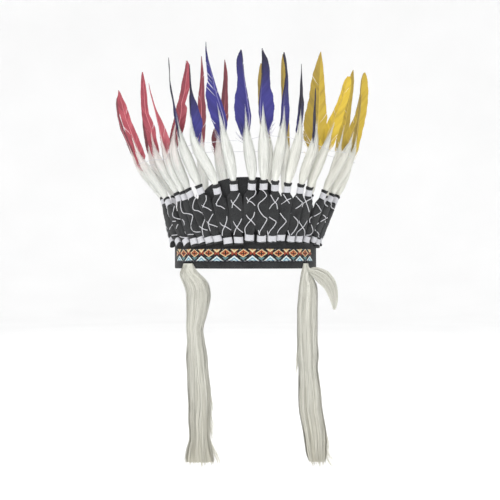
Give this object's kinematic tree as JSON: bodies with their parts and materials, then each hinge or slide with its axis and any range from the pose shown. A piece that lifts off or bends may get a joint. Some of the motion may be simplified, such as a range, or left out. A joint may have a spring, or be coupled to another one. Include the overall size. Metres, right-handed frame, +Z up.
{
  "type": "feathered headdress",
  "caption": "Round felt headband with a raised brow, laced felt-wrapped stems carrying dyed feathers with down fluffs, a woven trim ribbon and two hanging fur tassels.",
  "frame": {"origin": "centre of the head opening, in the plane of the headband's lower rim", "axes": "+Z up as worn, the brow faces -Y, +X to the wearer's left and the viewer's right"},
  "size_m": [0.3263, 0.3187, 0.5431],
  "materials": {
    "felt": "matte black wool felt with a slight nap",
    "stem_felt": "matte black felt wrapped round the quills, bound and laced with white thread",
    "ribbon": "woven jacquard ribbon, cream, red-brown and pale blue motifs on black",
    "down": "soft white down fluff, fine barbs",
    "feather_red": "red-dyed feather vane, satin along the barbs, pale shaft",
    "feather_blue": "blue-violet dyed feather vane darkening to the tip, pale shaft",
    "feather_yellow": "yellow-dyed feather vane, ochre in the shade, pale shaft",
    "fur": "long straight off-white fur"
  },
  "bodies": {
    "root": {"headband_felt": "felt", "trim_ribbon": "ribbon", "stems_front": "stem_felt", "stems_back": "stem_felt", "down_front_01": "down", "feather_front_01": "feather_red", "down_front_02": "down", "feather_front_02": "feather_red", "down_front_03": "down", "feather_front_03": "feather_red", "down_front_04": "down", "feather_front_04": "feather_red", "down_front_05": "down", "feather_front_05": "feather_red", "down_front_06": "down", "feather_front_06": "feather_blue", "down_front_07": "down", "feather_front_07": "feather_blue", "down_front_08": "down", "feather_front_08": "feather_blue", "down_front_09": "down", "feather_front_09": "feather_blue", "down_front_10": "down", "feather_front_10": "feather_blue", "down_front_11": "down", "feather_front_11": "feather_blue", "down_front_12": "down", "feather_front_12": "feather_blue", "down_front_13": "down", "feather_front_13": "feather_blue", "down_front_14": "down", "feather_front_14": "feather_yellow", "down_front_15": "down", "feather_front_15": "feather_yellow", "down_front_16": "down", "feather_front_16": "feather_yellow", "down_front_17": "down", "feather_front_17": "feather_yellow", "down_back_01": "down", "feather_back_01": "feather_red", "down_back_02": "down", "feather_back_02": "feather_red", "down_back_03": "down", "feather_back_03": "feather_red", "down_back_04": "down", "feather_back_04": "feather_red", "down_back_05": "down", "feather_back_05": "feather_red", "down_back_06": "down", "feather_back_06": "feather_yellow", "down_back_07": "down", "feather_back_07": "feather_yellow", "down_back_08": "down", "feather_back_08": "feather_yellow", "down_back_09": "down", "feather_back_09": "feather_yellow", "down_back_10": "down", "feather_back_10": "feather_yellow", "tassel_left": "fur", "tassel_right": "fur"}
  },
  "joints": []
}
